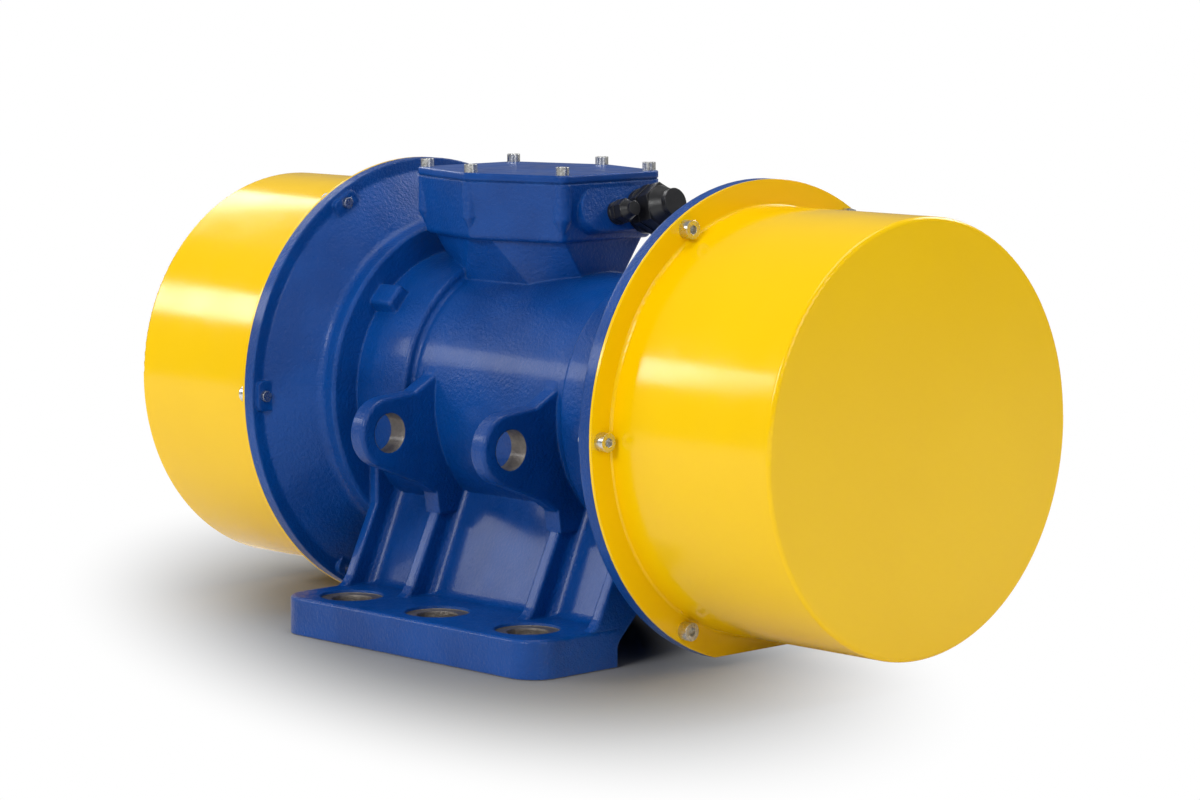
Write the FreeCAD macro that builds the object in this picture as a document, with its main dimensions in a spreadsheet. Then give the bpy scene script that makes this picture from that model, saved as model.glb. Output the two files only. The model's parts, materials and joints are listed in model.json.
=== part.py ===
import FreeCAD, Part
import math
import os
import Sketcher

# Unbalance motor with two weight covers, a cast casing on six-hole feet and a
# hexagonal terminal box.  Millimetres.  X runs along the shaft, Z is up, and
# the origin is the middle of the mounting face.

doc = FreeCAD.newDocument("VibrationMotor")
os.makedirs("parts", exist_ok=True)

Vector = FreeCAD.Vector
X_AXIS = Vector(1, 0, 0)
Y_AXIS = Vector(0, 1, 0)
Z_AXIS = Vector(0, 0, 1)

# ---------------------------------------------------------------- dimensions

DIMENSIONS = [
    # shaft line and casing bell
    ("axisHeight", 225), ("barrelRadius", 125), ("barrelHalf", 109),
    ("endRingRadius", 135), ("hubRingRadius", 165), ("hubFace", 180), ("hubChamfer", 3),
    ("coneStart", 198), ("coneEnd", 231), ("coneRadius", 212),
    ("flangeRadius", 225), ("flangeFace", 243.7), ("flangeFlat", 10),
    ("boreRadius", 106), ("boreHalf", 150), ("spigotRadius", 118),
    ("seatFace", 192), ("seatRadius", 150), ("seatEnd", 206), ("mouthRadius", 196),
    # covers
    ("coverRadius", 200.5), ("coverEnd", 440.5), ("sheet", 3), ("coverCorner", 4),
    ("screwCircle", 213), ("screwHole", 5.5), ("coverScrews", 6),
    ("bossInner", 196), ("bossOuter", 221), ("bossWidth", 30), ("bossFace", 226),
    # feet
    ("footHalf", 181), ("footEdge", 236), ("footInner", 128), ("footThick", 37),
    ("footCorner", 29), ("footEdgeRound", 4), ("tunnelTop", 54), ("tunnelSide", 22), ("tunnelHalf", 96),
    ("holePitch", 125), ("holeRow", 190), ("holeRadius", 19.5),
    ("spotRadius", 31), ("spotDepth", 3),
    ("wallFoot", 127), ("wallTop", 62), ("wallTopHeight", 187),
    ("ribFoot", 149), ("ribTop", 119), ("ribTopHeight", 115), ("ribThick", 14),
    ("endWallThick", 12), ("ribPlace", 85.5), ("castRoot", 10), ("castEdge", 3.2),
    # lifting eyes
    ("eyeOut", 182.7), ("eyeHeight", 200), ("eyeRadius", 34), ("eyeHole", 19),
    ("lugThick", 20), ("lugEdge", 4),
    # terminal box
    ("boxCentre", -63), ("lidScrewLong", 97), ("lidScrewSide", 58), ("lidScrewFront", 88),
    ("boxFloor", 381), ("boxRim", 438), ("lidTop", 446.3), ("gasketThick", 1.5),
    ("lidMargin", 9), ("boxWall", 7), ("boxDraft", 6.5),
    ("neckLong", 92), ("neckShoulder", 20), ("neckFlat", 47), ("neckFront", 52), ("neckFoot", 335),
    # rotor and bearings
    ("stackHalf", 75), ("statorRadius", 105.8), ("rotorRadius", 65.5), ("airGap", 1),
    ("rotorSeat", 36), ("bearingSeat", 32.5), ("weightSeat", 27.5), ("threadRadius", 22),
    ("shaftHalf", 398), ("bearingInner", 158), ("bearingOuter", 206),
    ("outerRingBack", 70), ("outerRingRace", 59), ("innerRingRace", 42), ("rollers", 14),
    # eccentric weights
    ("lobeRadius", 168), ("lobeAngle", 150), ("weightHub", 56),
    ("earHalf", 47), ("earTop", 60), ("clampHeight", 44),
    ("fixedStart", 226), ("fixedEnd", 288), ("movingStart", 289), ("movingEnd", 351),
]

sheet = doc.addObject("Spreadsheet::Sheet", "dims")
for row, (alias, number) in enumerate(DIMENSIONS, start=1):
    sheet.set("A%d" % row, alias)
    sheet.set("B%d" % row, str(number))
    sheet.setAlias("B%d" % row, alias)
doc.recompute()


class Size:
    # A length together with the spreadsheet formula that drives it.
    def __init__(self, value, text):
        self.value = float(value)
        self.text = text

    def __add__(self, other):
        return Size(self.value + number(other), "(%s + %s)" % (self.text, formula(other)))

    def __radd__(self, other):
        return Size(number(other) + self.value, "(%s + %s)" % (formula(other), self.text))

    def __sub__(self, other):
        return Size(self.value - number(other), "(%s - %s)" % (self.text, formula(other)))

    def __rsub__(self, other):
        return Size(number(other) - self.value, "(%s - %s)" % (formula(other), self.text))

    def __mul__(self, other):
        return Size(self.value * number(other), "(%s * %s)" % (self.text, formula(other)))

    __rmul__ = __mul__

    def __truediv__(self, other):
        return Size(self.value / number(other), "(%s / %s)" % (self.text, formula(other)))

    def __neg__(self):
        return Size(-self.value, "(0 - %s)" % self.text)


def number(size):
    return size.value if isinstance(size, Size) else float(size)


def formula(size):
    return size.text if isinstance(size, Size) else "%.6g" % size


class Sizes:
    pass


d = Sizes()
for alias, value in DIMENSIONS:
    setattr(d, alias, Size(value, "dims." + alias))


# ------------------------------------------------------------ drawing helpers

def bind(thing, prop, size):
    # Ties one property of an object to its spreadsheet formula.
    if isinstance(size, Size):
        thing.setExpression(prop, size.text)
    else:
        setattr(thing, prop, size)


def originPart(body, role):
    return [part for part in body.Origin.OriginFeatures if part.Role == role][0]


def newBody(name, place=None):
    body = doc.addObject("PartDesign::Body", name)
    body.Label = name
    if place is not None:
        body.Placement = place
    return body


def newSketch(body, plane, name, offset=0):
    sketch = body.newObject("Sketcher::SketchObject", name)
    sketch.AttachmentSupport = [(originPart(body, plane), "")]
    sketch.MapMode = "FlatFace"
    if isinstance(offset, Size):
        sketch.setExpression("AttachmentOffset.Base.z", offset.text)
    else:
        sketch.AttachmentOffset = FreeCAD.Placement(Vector(0, 0, offset), FreeCAD.Rotation())
    return sketch


def pin(sketch, index, point, across, up):
    # Fixes one sketch point at its two distances from the sketch origin.
    for kind, axis, size in (("DistanceX", -2, across), ("DistanceY", -1, up)):
        if not isinstance(size, Size) and size == 0:
            sketch.addConstraint(Sketcher.Constraint("PointOnObject", index, point, axis))
            continue
        tie = sketch.addConstraint(Sketcher.Constraint(kind, -1, 1, index, point, number(size)))
        if isinstance(size, Size):
            sketch.setExpression("Constraints[%d]" % tie, size.text)


def drawOutline(sketch, corners):
    first = sketch.GeometryCount
    count = len(corners)
    spots = [Vector(number(across), number(up), 0) for across, up in corners]
    for i in range(count):
        sketch.addGeometry(Part.LineSegment(spots[i], spots[(i + 1) % count]), False)
    for i in range(count):
        after = first + (i + 1) % count
        sketch.addConstraint(Sketcher.Constraint("Coincident", first + i, 2, after, 1))
    for i, (across, up) in enumerate(corners):
        pin(sketch, first + i, 1, across, up)


def drawCircle(sketch, across, up, radius):
    spot = Vector(number(across), number(up), 0)
    index = sketch.addGeometry(Part.Circle(spot, Z_AXIS, number(radius)), False)
    pin(sketch, index, 3, across, up)
    tie = sketch.addConstraint(Sketcher.Constraint("Radius", index, number(radius)))
    if isinstance(radius, Size):
        sketch.setExpression("Constraints[%d]" % tie, radius.text)


def revolve(body, corners, name="Turned"):
    # Turns a profile of (along the shaft, radius) corners about the shaft line.
    sketch = newSketch(body, "XZ_Plane", name + "Profile")
    drawOutline(sketch, corners)
    turned = body.newObject("PartDesign::Revolution", name)
    turned.Profile = sketch
    turned.ReferenceAxis = (sketch, ["H_Axis"])
    turned.Angle = 360
    body.Tip = turned
    doc.recompute()
    return turned


def pad(body, sketch, length, name, midplane=False, reverse=False):
    grown = body.newObject("PartDesign::Pad", name)
    grown.Profile = sketch
    bind(grown, "Length", length)
    grown.Midplane = midplane
    grown.Reversed = reverse
    body.Tip = grown
    doc.recompute()
    return grown


def pocket(body, sketch, length, name, midplane=False, reverse=False):
    # Cuts a sketch out of the body, on whichever side of it the metal is.
    before = body.Shape.Volume
    taken = body.newObject("PartDesign::Pocket", name)
    taken.Profile = sketch
    bind(taken, "Length", length)
    taken.Midplane = midplane
    taken.Reversed = reverse
    body.Tip = taken
    doc.recompute()
    if body.Shape.Volume > before - 0.01:
        taken.Reversed = not reverse
        doc.recompute()
    return taken


def around(body, feature, count, name):
    # Repeats a feature evenly about the shaft line.
    ring = body.newObject("PartDesign::PolarPattern", name)
    ring.Originals = [feature]
    ring.Axis = (originPart(body, "X_Axis"), [""])
    ring.Angle = 360
    bind(ring, "Occurrences", count)
    body.Tip = ring
    doc.recompute()
    return ring


def edgesWhere(shape, test):
    # Names of the edges whose middle point and direction pass a test.
    names = []
    for index, edge in enumerate(shape.Edges, start=1):
        low, high = edge.ParameterRange
        middle = edge.valueAt((low + high) / 2)
        direction = edge.tangentAt((low + high) / 2)
        if test(edge, middle, direction):
            names.append("Edge%d" % index)
    return names


def roundEdges(body, radius, test, name):
    # Rounds the edges that pass the test on the body's last feature.
    base = body.Tip
    names = edgesWhere(base.Shape, test)
    rounded = body.newObject("PartDesign::Fillet", name)
    rounded.Base = (base, names)
    rounded.Radius = radius
    body.Tip = rounded
    doc.recompute()
    return rounded


def solid(kind, name, place=None, **sizes):
    # One Part primitive, its sizes tied to the sheet.
    thing = doc.addObject(kind, name)
    for prop, size in sizes.items():
        bind(thing, prop, size)
    if place is not None:
        thing.Placement = place
    return thing


def at(x, y, z, turn=None):
    return FreeCAD.Placement(Vector(number(x), number(y), number(z)), turn or FreeCAD.Rotation())


def fuse(name, shapes, refine=True):
    joined = doc.addObject("Part::MultiFuse", name)
    joined.Shapes = shapes
    joined.Refine = refine
    return joined


def cut(name, base, tool, refine=True):
    left = doc.addObject("Part::Cut", name)
    left.Base = base
    left.Tool = tool
    left.Refine = refine
    return left


def copies(name, master, places):
    # Places one master piece several times as a single group of solids.
    links = []
    for index, place in enumerate(places, start=1):
        link = doc.addObject("App::Link", "%sPlace%d" % (name, index))
        link.LinkedObject = master
        link.Placement = place
        links.append(link)
    group = doc.addObject("Part::Compound", name)
    group.Label = name
    group.Links = links
    return group


ALONG_X = FreeCAD.Rotation(Y_AXIS, 90)
ON_SHAFT = at(0, 0, d.axisHeight)
TURNED_LEFT = at(0, 0, d.axisHeight, FreeCAD.Rotation(Z_AXIS, 180))
SIDES = (("right", 1, ON_SHAFT), ("left", -1, TURNED_LEFT))
finished = []


def keep(piece, name):
    piece.Label = name
    finished.append(piece)
    return piece


# --------------------------------------------------------------------- casing

def mirroredProfile(half):
    # Completes a profile of the right half with its mirror image on the left.
    return [(-along, radius) for along, radius in reversed(half)] + half


def onRing(along, radius):
    # Test for the two mirrored circles at one corner of a turned profile.
    def test(edge, mid, way):
        return (abs(abs(mid.x) - number(along)) < 0.2
                and abs(math.hypot(mid.y, mid.z) - number(radius)) < 0.2)
    return test


def bellBody():
    # The hollow barrel with its end rings and the two cone-shaped flanges.
    outer = newBody("casingBell", ON_SHAFT)
    revolve(outer, mirroredProfile([
        (d.barrelHalf, d.barrelRadius), (d.barrelHalf, d.endRingRadius),
        (d.hubFace, d.endRingRadius), (d.hubFace, d.hubRingRadius - d.hubChamfer),
        (d.hubFace + 2.5, d.hubRingRadius),
        (d.coneStart, d.hubRingRadius), (d.coneEnd, d.coneRadius),
        (d.coneEnd, d.flangeRadius), (d.flangeFace, d.flangeRadius),
        (d.flangeFace, d.mouthRadius), (d.seatEnd, d.seatRadius), (d.seatFace, d.seatRadius),
        (d.seatFace, d.spigotRadius), (d.boreHalf, d.spigotRadius), (d.boreHalf, d.boreRadius)]))
    for name, along, radius, size in (
            ("BarrelStep", d.barrelHalf, d.barrelRadius, 4.5),
            ("EndRingEdge", d.barrelHalf, d.endRingRadius, 4.5),
            ("ConeRoot", d.coneStart, d.hubRingRadius, 10),
            ("FlangeRoot", d.coneEnd, d.coneRadius, 5)):
        roundEdges(outer, size, onRing(along, radius), name)
    return outer


def onLine(mid, line):
    # True where a point lies on the sloping line, seen along the shaft.
    (y1, z1), (y2, z2) = [(number(y), number(z)) for y, z in line]
    length = math.hypot(y2 - y1, z2 - z1)
    return abs((mid.y - y1) * (z2 - z1) - (mid.z - z1) * (y2 - y1)) / length < 0.5


def lugEdges(place):
    # Test for the outer edges of one lifting lug, on both of its faces.
    def test(edge, mid, way):
        away = abs(abs(mid.x - place) - number(d.lugThick) / 2)
        clear = mid.y < -number(d.ribTop) - 4 or mid.z > number(d.eyeHeight + 40)
        return away < 0.1 and clear and mid.y < -62 and abs(way.x) < 0.01
    return test


def flankBody():
    # One long side of the casing: foot, sloping wall, ribs and lifting eyes.
    body = newBody("casingFlank")
    section = newSketch(body, "YZ_Plane", "FootSection")
    drawOutline(section, [
        (0, d.tunnelTop), (-d.tunnelHalf, d.tunnelTop), (-d.footInner, d.tunnelSide),
        (-d.footInner, 0), (-d.footEdge, 0),
        (-d.footEdge, d.footThick), (-d.wallFoot, d.footThick),
        (-d.wallTop, d.wallTopHeight), (0, d.wallTopHeight)])
    pad(body, section, d.footHalf * 2, "Foot", midplane=True)
    corner = number(d.footEdge)
    half = number(d.footHalf)
    roundEdges(body, number(d.footCorner), lambda edge, mid, way: (
        abs(way.z) > 0.99 and abs(mid.y + corner) < 1 and abs(abs(mid.x) - half) < 1),
        "FootCorners")
    roundEdges(body, 14, lambda edge, mid, way: (
        abs(way.x) > 0.99 and (abs(mid.z - number(d.tunnelTop)) < 1
        and abs(mid.y + number(d.tunnelHalf)) < 1 or abs(mid.z - number(d.tunnelSide)) < 1)),
        "TunnelCorners")
    top = number(d.footThick)
    roundEdges(body, number(d.footEdgeRound), lambda edge, mid, way: (
        abs(mid.z - top) < 0.5 and abs(way.z) < 0.1 and mid.y < -number(d.wallFoot) - 5),
        "FootTopEdge")

    ribOutline = [
        (-d.wallFoot + 7, d.footThick - 1), (-d.ribFoot - 14, d.footThick - 0.5),
        (-d.ribFoot - 8, d.footThick + 3), (-d.ribFoot - 2.6, d.footThick + 10),
        (-d.ribTop, d.ribTopHeight), (-d.ribTop, 160), (-60, 160), (-60, 120),
        (-d.tunnelHalf - 4, d.tunnelTop + 9)]
    endWall = d.footHalf - d.endWallThick / 2
    for index, (place, thick) in enumerate((
            (-endWall, d.endWallThick), (-d.ribPlace, d.ribThick),
            (d.ribPlace, d.ribThick), (endWall, d.endWallThick)), start=1):
        rib = newSketch(body, "YZ_Plane", "RibOutline%d" % index, place)
        drawOutline(rib, ribOutline)
        pad(body, rib, thick, "Rib%d" % index, midplane=True)
    wallLine = ((-d.wallFoot, d.footThick), (-d.wallTop, d.wallTopHeight))
    roundEdges(body, number(d.castRoot), lambda edge, mid, way: (
        onLine(mid, wallLine) and mid.z < 158 and abs(mid.x) < half - 1
        and (abs(way.x) > 0.99 or mid.z > top + 2)), "PocketRoots")
    frontLine = ((-d.ribFoot - 2.6, d.footThick + 10), (-d.ribTop, d.ribTopHeight))
    toe = -number(d.ribFoot) - 1
    roundEdges(body, number(d.castEdge), lambda edge, mid, way: (
        abs(way.x) < 0.01 and (
            onLine(mid, frontLine) and way.z ** 2 > 0.25
            or abs(way.z) > 0.99 and abs(mid.y + number(d.ribTop)) < 0.5
            or mid.y < toe and top - 1 < mid.z < top + 11 and abs(way.z) > 0.2)),
        "RibEdges")

    lugOutline = [
        (-d.eyeOut, d.eyeHeight + d.eyeRadius), (-150, d.eyeHeight + d.eyeRadius + 3),
        (-126, d.eyeHeight + 50), (-111, d.eyeHeight + 74), (-60, d.eyeHeight + 74),
        (-60, d.ribTopHeight), (-d.ribTop, d.ribTopHeight), (-d.ribTop - 3, d.ribTopHeight + 20),
        (-142, d.eyeHeight - 52), (-d.eyeOut - 12, d.eyeHeight - 31.7)]
    for index, place in enumerate((-d.ribPlace, d.ribPlace), start=1):
        lug = newSketch(body, "YZ_Plane", "LugOutline%d" % index, place)
        drawOutline(lug, lugOutline)
        pad(body, lug, d.lugThick, "Lug%d" % index, midplane=True)
        eye = newSketch(body, "YZ_Plane", "EyeOutline%d" % index, place)
        drawCircle(eye, -d.eyeOut, d.eyeHeight, d.eyeRadius)
        pad(body, eye, d.lugThick, "Eye%d" % index, midplane=True)
        hole = newSketch(body, "YZ_Plane", "EyeHoleOutline%d" % index, place)
        drawCircle(hole, -d.eyeOut, d.eyeHeight, d.eyeHole)
        roundEdges(body, number(d.lugEdge), lugEdges(number(place)), "LugEdge%d" % index)
        pocket(body, hole, d.lugThick + 4, "EyeHole%d" % index, midplane=True)

    spots = newSketch(body, "XY_Plane", "SpotFaces", d.footThick - d.spotDepth)
    holes = newSketch(body, "XY_Plane", "FootHoles")
    for along in (-d.holePitch, 0, d.holePitch):
        drawCircle(spots, along, -d.holeRow, d.spotRadius)
        drawCircle(holes, along, -d.holeRow, d.holeRadius)
    pocket(body, spots, d.spotDepth, "SpotFacePocket", reverse=True)
    pocket(body, holes, d.footThick, "FootHolePocket", reverse=True)
    return body


def hexagon(margin):
    # Terminal-box outline through the six lid screws, moved outwards by margin.
    corners = [(d.lidScrewLong, d.lidScrewSide), (0, d.lidScrewFront),
               (-d.lidScrewLong, d.lidScrewSide), (-d.lidScrewLong, -d.lidScrewSide),
               (0, -d.lidScrewFront), (d.lidScrewLong, -d.lidScrewSide)]
    slope = math.atan2(number(d.lidScrewFront) - number(d.lidScrewSide), number(d.lidScrewLong))
    # a side moved outwards by the margin shifts the tip and the shoulder so far
    tip = margin / math.cos(slope)
    shoulder = tip - margin * math.tan(slope)
    moved = []
    for across, up in corners:
        outward = 1 if number(up) > 0 else -1
        sideways = 1 if number(across) > 0 else -1
        if number(across) == 0:
            moved.append((d.boxCentre, up + outward * tip))
        else:
            moved.append((across + sideways * margin + d.boxCentre, up + outward * shoulder))
    return moved


def lidScrewSpots():
    long, side, front = number(d.lidScrewLong), number(d.lidScrewSide), number(d.lidScrewFront)
    centre = number(d.boxCentre)
    return [(centre + across, up) for across, up in (
        (long, side), (0, front), (-long, side), (-long, -side), (0, -front), (long, -side))]


EARTH_SPOT = (number(d.boxCentre) + 40, -30)
GLAND_TILT = FreeCAD.Rotation(Y_AXIS, 90 - 14)
GLAND_WALL = number(d.boxCentre) + number(d.lidScrewLong) + 9.5
GLAND_HEIGHT = 407
GLANDS = {"large": {"side": 36.0, "thread": 16.0}, "small": {"side": -1.0, "thread": 8.0}}


def glandFace(side):
    # Place on the tilted face of the gland pad, Z pointing out of the box.
    return at(GLAND_WALL, side, GLAND_HEIGHT, GLAND_TILT).multiply(at(0, 0, 5))


def neckOutline(long, shoulder, flat, front):
    # Eight corners of the neck under the terminal box, about the box centre.
    half = [(long, shoulder), (flat, front), (-flat, front), (-long, shoulder)]
    corners = half + [(across, -up) for across, up in reversed(half)]
    return [(across + d.boxCentre, up) for across, up in corners]


def boxShapes():
    # The terminal box: hexagonal tray with drafted sides on a neck that runs
    # down to the barrel, screw columns, and the raised pad for the glands.
    tray = newBody("casingTray")
    outline = newSketch(tray, "XY_Plane", "TrayOutline", d.boxRim)
    drawOutline(outline, hexagon(number(d.lidMargin) - 0.4))
    sides = pad(tray, outline, d.boxRim - d.boxFloor, "Tray", reverse=True)
    sides.setExpression("TaperAngle", (-d.boxDraft).text)
    doc.recompute()
    roundEdges(tray, 8.6, lambda edge, mid, way: abs(way.z) > 0.9, "TrayCorners")
    roundEdges(tray, 6, lambda edge, mid, way: (
        abs(mid.z - number(d.boxFloor)) < 0.5), "TrayUnderEdge")
    upper = newSketch(tray, "XY_Plane", "NeckTop", d.boxFloor + 1)
    drawOutline(upper, neckOutline(d.lidScrewLong - 4, d.lidScrewSide - 6, 17, d.lidScrewFront - 11))
    lower = newSketch(tray, "XY_Plane", "NeckFoot", d.neckFoot)
    drawOutline(lower, neckOutline(d.neckLong, d.neckShoulder, d.neckFlat, d.neckFront))
    neck = tray.newObject("PartDesign::AdditiveLoft", "Neck")
    neck.Profile = upper
    neck.Sections = [lower]
    neck.Ruled = True
    tray.Tip = neck
    doc.recompute()
    hollow = newSketch(tray, "XY_Plane", "TrayHollow", d.boxFloor + d.boxWall)
    drawOutline(hollow, hexagon(number(d.lidMargin) - 7 - number(d.boxWall)))
    pocket(tray, hollow, d.boxRim - d.boxFloor, "TraySpace", reverse=True)

    columns = []
    for index, (x, y) in enumerate(lidScrewSpots(), start=1):
        columns.append(solid("Part::Cylinder", "boxColumn%d" % index, at(x, y, 403),
                             Radius=d.lidMargin, Height=d.boxRim - 403))
        columns.append(solid("Part::Cone", "boxColumnTail%d" % index, at(x, y, 391),
                             Radius1=3, Radius2=d.lidMargin, Height=12))
    face = glandFace(0)
    padEnds = [solid("Part::Cylinder", "glandPadEnd%d" % index,
                     face.multiply(at(-5, side, -17)), Radius=22, Height=17)
               for index, side in enumerate((-22, 36), start=1)]
    padMiddle = solid("Part::Box", "glandPadMiddle", face.multiply(at(-27, -22, -17)),
                      Length=44, Width=58, Height=17)
    return tray, columns + padEnds + [padMiddle]


def flangeBosses():
    # Rounded screw bosses behind both flanges.
    boss = newBody("flangeBoss")
    outline = newSketch(boss, "YZ_Plane", "BossOutline")
    wide = d.bossWidth / 2
    drawOutline(outline, [(d.bossInner, -wide), (d.bossOuter, -wide),
                          (d.bossOuter, wide), (d.bossInner, wide)])
    pad(boss, outline, d.flangeFace - d.bossFace, "Boss")
    roundEdges(boss, 6, lambda edge, mid, way: abs(way.x) > 0.99, "BossCorners")
    places = []
    for place in (ON_SHAFT, TURNED_LEFT):
        for step in range(6):
            turn = FreeCAD.Rotation(X_AXIS, 60 * step)
            places.append(place.multiply(at(0, 0, 0, turn)).multiply(at(d.bossFace, 0, 0)))
    return copies("flangeBosses", boss, places)


def greaseBoss():
    # Block on the left end ring that takes the grease nipple.
    boss = newBody("greaseBoss", at(0, 0, d.axisHeight, FreeCAD.Rotation(X_AXIS, 138)))
    outline = newSketch(boss, "YZ_Plane", "GreaseBossOutline", -181)
    drawOutline(outline, [(120, -15), (148, -12), (148, 12), (120, 15)])
    pad(boss, outline, 31, "GreaseBoss")
    roundEdges(boss, 4, lambda edge, mid, way: (
        abs(mid.y - 148) < 0.1 and abs(way.x) > 0.9 or abs(mid.x + 150) < 0.1 and mid.y > 130),
        "GreaseBossEdges")
    return boss


def screwWays(name, along, radius, start, holeRadius, depth):
    # Holes for both ends' screw rings, drilled outwards from the given plane.
    drill = solid("Part::Cylinder", name + "Drill", Radius=holeRadius, Height=depth)
    places = ringPlaces(1, along, radius, 6, start) + ringPlaces(-1, along, radius, 6, start)
    return copies(name, drill, places)


def throat(name):
    # Clears the barrel's inside out of what joins it, up to half way through its wall.
    return solid("Part::Cylinder", name + "Throat", at(-d.footHalf - 5, 0, d.axisHeight, ALONG_X),
                 Radius=(d.spigotRadius + d.barrelRadius) / 2, Height=d.footHalf * 2 + 10)


def makeCasing():
    bossed = fuse("casingFlanges", [bellBody(), flangeBosses()])
    flangeHoles = screwWays("flangeScrewWays", d.coneStart, d.screwCircle, 0, d.screwHole, 60)
    flanges = cut("casingFlangesDrilled", bossed, flangeHoles)

    tray, boxExtras = boxShapes()
    boxRough = fuse("casingBoxRough", [tray] + boxExtras)
    lidDrill = solid("Part::Cylinder", "lidThreadDrill", Radius=4, Height=40)
    threads = copies("lidThreads", lidDrill, [at(x, y, 412) for x, y in lidScrewSpots()])
    glandHoles = [solid("Part::Cylinder", "glandHole_" + name,
                        glandFace(gland["side"]).multiply(at(0, 0, -30)),
                        Radius=gland["thread"], Height=60)
                  for name, gland in GLANDS.items()]
    earth = solid("Part::Cylinder", "earthThread", at(EARTH_SPOT[0], EARTH_SPOT[1], 381.5),
                  Radius=3, Height=8)
    boxSpaces = [threads, earth, throat("box")] + glandHoles
    box = cut("casingBox", boxRough, fuse("boxHoles", boxSpaces, refine=False))

    flank = cut("casingFrontFlank", flankBody(), throat("flank"))
    rear = doc.addObject("Part::Mirroring", "casingRearFlank")
    rear.Source = flank
    rear.Normal = Y_AXIS
    rough = fuse("casingRough", [flanges, flank, rear, box, greaseBoss()])

    tools = []
    for side, sign, place in SIDES:
        tools.append(solid("Part::Box", "flangeFlat_" + side,
                           at(200 if sign > 0 else -260, -100, -5),
                           Length=60, Width=200, Height=d.flangeFlat + 5))
        groove = newBody("sealGroove_" + side, place)
        revolve(groove, [(d.flangeFace - 2, 199), (d.flangeFace - 2, 204),
                         (d.flangeFace + 1, 204), (d.flangeFace + 1, 199)])
        tools.append(groove)
    tools.append(screwWays("housingThreads", 182, 134, 30, 5, 12))
    tools.append(solid("Part::Cylinder", "cableDuct", at(d.boxCentre, 0, 300),
                       Radius=17, Height=110))
    spaces = fuse("casingSpaces", tools, refine=False)
    return keep(cut("casing", rough, spaces), "casing")


# ------------------------------------------------- lid, gasket and fasteners

def makeLid():
    # Flat lid with a shallow skirt line, on its gasket.
    lid = newBody("terminal_box_lid")
    outline = newSketch(lid, "XY_Plane", "LidOutline", d.boxRim + d.gasketThick)
    drawOutline(outline, hexagon(number(d.lidMargin)))
    pad(lid, outline, d.lidTop - d.boxRim - d.gasketThick, "Plate")
    roundEdges(lid, 9, lambda edge, mid, way: abs(way.z) > 0.99, "LidCorners")
    roundEdges(lid, 1.5, lambda edge, mid, way: (
        abs(mid.z - number(d.lidTop)) < 0.1), "LidTopEdge")
    holes = newSketch(lid, "XY_Plane", "LidHoles", d.boxRim + d.gasketThick)
    for x, y in lidScrewSpots():
        drawCircle(holes, x, y, 4.5)
    pocket(lid, holes, 20, "LidHolePocket", reverse=True)
    keep(lid, "terminal_box_lid")

    gasket = newBody("lid_gasket")
    ring = newSketch(gasket, "XY_Plane", "GasketRing", d.boxRim)
    drawOutline(ring, hexagon(number(d.lidMargin) - 1))
    drawOutline(ring, hexagon(number(d.lidMargin) - 7 - number(d.boxWall)))
    pad(gasket, ring, d.gasketThick, "Ring")
    roundEdges(gasket, 8, lambda edge, mid, way: (
        abs(way.z) > 0.99 and math.hypot(mid.x - number(d.boxCentre), mid.y) > 94), "RingCorners")
    bolts = newSketch(gasket, "XY_Plane", "GasketHoles", d.boxRim)
    for x, y in lidScrewSpots():
        drawCircle(bolts, x, y, 4.5)
    pocket(gasket, bolts, d.gasketThick * 2, "GasketHolePocket", midplane=True)
    keep(gasket, "lid_gasket")


def socketScrew(name, headRadius, headHeight, shankRadius, shankLength, socketSize):
    # Socket-head cap screw along +Z, its head standing on the plane z = 0.
    head = solid("Part::Cylinder", name + "Head", Radius=headRadius, Height=headHeight)
    shank = solid("Part::Cylinder", name + "Shank", at(0, 0, -shankLength),
                  Radius=shankRadius, Height=shankLength + 1)
    socket = solid("Part::Prism", name + "Socket", at(0, 0, headHeight * 0.45),
                   Polygon=6, Circumradius=socketSize / 2 / math.cos(math.pi / 6),
                   Height=headHeight)
    body = fuse(name + "Body", [head, shank])
    return cut(name + "Master", body, socket)


def hexNut(name, acrossFlats, thickness, holeRadius):
    block = solid("Part::Prism", name + "Block", Polygon=6, Height=thickness,
                  Circumradius=acrossFlats / 2 / math.cos(math.pi / 6))
    hole = solid("Part::Cylinder", name + "Hole", at(0, 0, -1), Radius=holeRadius,
                 Height=thickness + 2)
    return cut(name + "Master", block, hole)


def ringPlaces(side, along, radius, count, start=0):
    # Places facing outwards around the shaft line, for screws and rollers.
    outward = FreeCAD.Rotation(Y_AXIS, 90 * side)
    places = []
    for step in range(count):
        angle = math.radians(start + 360 * step / count)
        places.append(at(side * number(along), number(radius) * math.cos(angle),
                         number(d.axisHeight) + number(radius) * math.sin(angle), outward))
    return places


def makeScrews():
    lidScrew = socketScrew("lidScrew", 6.5, 8, 3.9, 20, 6)
    keep(copies("lid_screws", lidScrew,
                [at(x, y, d.lidTop) for x, y in lidScrewSpots()]), "lid_screws")
    coverScrew = socketScrew("coverScrew", 8.6, 10, 5.4, 24, 8)
    housingScrew = socketScrew("housingScrew", 8, 10, 4.9, 24, 8)
    capScrew = socketScrew("capScrew", 5, 6, 2.9, 18, 5)
    for side, sign, place in SIDES:
        keep(copies("cover_screws_" + side, coverScrew, ringPlaces(
            sign, d.flangeFace + d.sheet, d.screwCircle, 6)), "cover_screws_" + side)
        keep(copies("housing_screws_" + side, housingScrew, ringPlaces(
            sign, 208, 134, 6, 30)), "housing_screws_" + side)
        keep(copies("cap_screws_" + side, capScrew, ringPlaces(
            sign, 215, 78, 6, 0)), "cap_screws_" + side)


# --------------------------------------------------------------------- covers

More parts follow.
